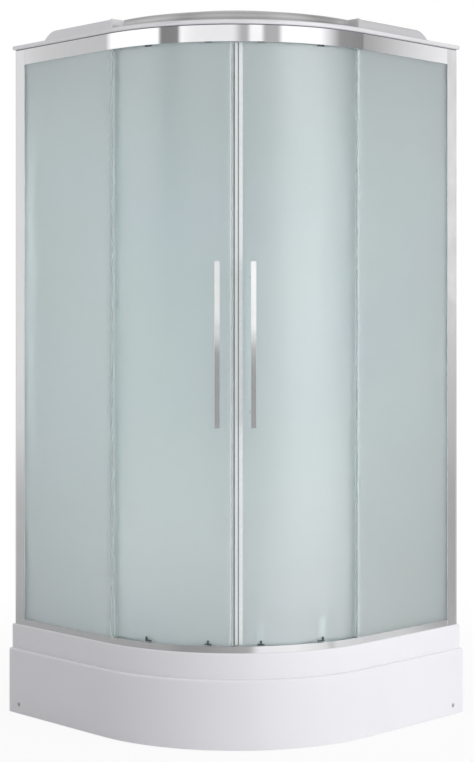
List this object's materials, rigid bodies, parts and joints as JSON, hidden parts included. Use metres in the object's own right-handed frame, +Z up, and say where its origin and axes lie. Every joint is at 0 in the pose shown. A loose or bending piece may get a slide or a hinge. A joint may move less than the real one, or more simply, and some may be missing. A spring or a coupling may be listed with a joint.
{
  "type": "quadrant shower enclosure",
  "caption": "Corner shower cabin with a curved front, sliding frosted doors, a deep white tray and a domed roof.",
  "frame": {"origin": "middle of the square footprint, on the floor under the feet", "axes": "+Z up; house walls at -X and +Y; the doors face the +X -Y corner"},
  "size_m": [1, 1, 2.15],
  "materials": {
    "white_acrylic": "glossy white sanitary acrylic",
    "frosted_glass": "frosted tempered glass, pale blue-green",
    "back_painted_glass": "tempered glass, painted white behind",
    "polished_aluminium": "bright polished extrusion",
    "chrome": "bright chrome",
    "white_polypropylene": "moulded white plastic",
    "cap_plastic": "pale grey moulded plastic",
    "satin_aluminium": "satin silver extrusion",
    "clear_seal": "clear soft PVC",
    "magnet_strip": "clear soft PVC with a magnetic core",
    "galvanised_steel": "zinc-plated steel",
    "foot_plastic": "black moulded plastic",
    "nylon_wheel": "white nylon",
    "milky_nylon": "milky nylon",
    "roller_steel": "stainless pressing",
    "dark_fitting": "dark grey clamp and bolt"
  },
  "bodies": {
    "cabin": {"apron_brackets": "galvanised_steel", "apron_caps": "cap_plastic", "apron_panel": "white_acrylic", "apron_screws": "galvanised_steel", "bottom_rail": "polished_aluminium", "corner_post": "satin_aluminium", "fixed_glass_left": "frosted_glass", "fixed_glass_right": "frosted_glass", "fixed_glass_seals": "clear_seal", "foot_front": "foot_plastic", "foot_left": "foot_plastic", "foot_nuts": "galvanised_steel", "foot_rear": "foot_plastic", "foot_right": "foot_plastic", "frame_bar_front": "galvanised_steel", "frame_bar_left": "galvanised_steel", "frame_bar_rear": "galvanised_steel", "frame_bar_right": "galvanised_steel", "glazing_gaskets": "clear_seal", "rear_wall_left": "back_painted_glass", "rear_wall_right": "back_painted_glass", "roof_panel": "white_acrylic", "top_rail": "polished_aluminium", "tray_basin": "white_acrylic", "wall_clips": "galvanised_steel", "wall_profile_left": "satin_aluminium", "wall_profile_right": "satin_aluminium", "waste_seat": "white_polypropylene", "waste_trap": "white_polypropylene"},
    "door_left": {"door_glass_left": "frosted_glass", "door_magnet_strip_left": "magnet_strip", "door_edge_seal_left": "clear_seal", "door_handle_outer_left": "chrome", "door_handle_inner_left": "chrome", "door_handle_studs_left": "chrome", "roller_hangers_left": "roller_steel", "roller_housings_left": "milky_nylon", "roller_bolts_left": "dark_fitting"},
    "door_right": {"door_glass_right": "frosted_glass", "door_magnet_strip_right": "magnet_strip", "door_edge_seal_right": "clear_seal", "door_handle_outer_right": "chrome", "door_handle_inner_right": "chrome", "door_handle_studs_right": "chrome", "roller_hangers_right": "roller_steel", "roller_housings_right": "milky_nylon", "roller_bolts_right": "dark_fitting"},
    "slider_left_near": {"roller_slider_left_near": "milky_nylon"},
    "upper_wheel_left_near_body": {"upper_wheel_left_near": "nylon_wheel"},
    "lower_wheel_left_near_body": {"lower_wheel_left_near": "nylon_wheel"},
    "slider_left_far": {"roller_slider_left_far": "milky_nylon"},
    "upper_wheel_left_far_body": {"upper_wheel_left_far": "nylon_wheel"},
    "lower_wheel_left_far_body": {"lower_wheel_left_far": "nylon_wheel"},
    "slider_right_near": {"roller_slider_right_near": "milky_nylon"},
    "upper_wheel_right_near_body": {"upper_wheel_right_near": "nylon_wheel"},
    "lower_wheel_right_near_body": {"lower_wheel_right_near": "nylon_wheel"},
    "slider_right_far": {"roller_slider_right_far": "milky_nylon"},
    "upper_wheel_right_far_body": {"upper_wheel_right_far": "nylon_wheel"},
    "lower_wheel_right_far_body": {"lower_wheel_right_far": "nylon_wheel"},
    "waste_cover_body": {"waste_cover": "chrome"}
  },
  "joints": [
    {"name": "door_left_slide", "type": "hinge", "parent": "cabin", "child": "door_left", "pos_m": [-0.0756, 0.1298, 1.15], "axis": [0, 0, -1], "range_deg": [0, 25.1]},
    {"name": "slider_left_near_release", "type": "slide", "parent": "door_left", "child": "slider_left_near", "axis": [0, 0, 1], "range_m": [0, 0.006], "stiffness_N_per_m": 600, "springref_m": -0.003},
    {"name": "upper_wheel_left_near_spin", "type": "hinge", "parent": "door_left", "child": "upper_wheel_left_near_body", "pos_m": [0.24513, -0.3474, 2.0478], "axis": [0.5962, -0.8028, 0], "continuous": true},
    {"name": "lower_wheel_left_near_spin", "type": "hinge", "parent": "slider_left_near", "child": "lower_wheel_left_near_body", "pos_m": [0.24513, -0.3474, 0.3018], "axis": [0.5962, -0.8028, 0], "continuous": true},
    {"name": "slider_left_far_release", "type": "slide", "parent": "door_left", "child": "slider_left_far", "axis": [0, 0, 1], "range_m": [0, 0.006], "stiffness_N_per_m": 600, "springref_m": -0.003},
    {"name": "upper_wheel_left_far_spin", "type": "hinge", "parent": "door_left", "child": "upper_wheel_left_far_body", "pos_m": [0.08228, -0.427, 2.0478], "axis": [0.2672, -0.9636, 0], "continuous": true},
    {"name": "lower_wheel_left_far_spin", "type": "hinge", "parent": "slider_left_far", "child": "lower_wheel_left_far_body", "pos_m": [0.08228, -0.427, 0.3018], "axis": [0.2672, -0.9636, 0], "continuous": true},
    {"name": "door_right_slide", "type": "hinge", "parent": "cabin", "child": "door_right", "pos_m": [-0.1298, 0.0756, 1.15], "axis": [0, 0, 1], "range_deg": [0, 25.1]},
    {"name": "slider_right_near_release", "type": "slide", "parent": "door_right", "child": "slider_right_near", "axis": [0, 0, 1], "range_m": [0, 0.006], "stiffness_N_per_m": 600, "springref_m": -0.003},
    {"name": "upper_wheel_right_near_spin", "type": "hinge", "parent": "door_right", "child": "upper_wheel_right_near_body", "pos_m": [0.3474, -0.24513, 2.0478], "axis": [-0.8028, 0.5962, 0], "continuous": true},
    {"name": "lower_wheel_right_near_spin", "type": "hinge", "parent": "slider_right_near", "child": "lower_wheel_right_near_body", "pos_m": [0.3474, -0.24513, 0.3018], "axis": [-0.8028, 0.5962, 0], "continuous": true},
    {"name": "slider_right_far_release", "type": "slide", "parent": "door_right", "child": "slider_right_far", "axis": [0, 0, 1], "range_m": [0, 0.006], "stiffness_N_per_m": 600, "springref_m": -0.003},
    {"name": "upper_wheel_right_far_spin", "type": "hinge", "parent": "door_right", "child": "upper_wheel_right_far_body", "pos_m": [0.427, -0.08228, 2.0478], "axis": [-0.9636, 0.2672, 0], "continuous": true},
    {"name": "lower_wheel_right_far_spin", "type": "hinge", "parent": "slider_right_far", "child": "lower_wheel_right_far_body", "pos_m": [0.427, -0.08228, 0.3018], "axis": [-0.9636, 0.2672, 0], "continuous": true},
    {"name": "waste_cover_lift", "type": "slide", "parent": "cabin", "child": "waste_cover_body", "axis": [0, 0, 1], "range_m": [0, 0.04]}
  ],
  "couplings": [
    {"joint": "upper_wheel_left_near_spin", "follows": "door_left_slide", "ratio": 49.997},
    {"joint": "lower_wheel_left_near_spin", "follows": "door_left_slide", "ratio": 49.997},
    {"joint": "upper_wheel_left_far_spin", "follows": "door_left_slide", "ratio": 50.326},
    {"joint": "lower_wheel_left_far_spin", "follows": "door_left_slide", "ratio": 50.326},
    {"joint": "upper_wheel_right_near_spin", "follows": "door_right_slide", "ratio": 49.997},
    {"joint": "lower_wheel_right_near_spin", "follows": "door_right_slide", "ratio": 49.997},
    {"joint": "upper_wheel_right_far_spin", "follows": "door_right_slide", "ratio": 50.326},
    {"joint": "lower_wheel_right_far_spin", "follows": "door_right_slide", "ratio": 50.326}
  ]
}
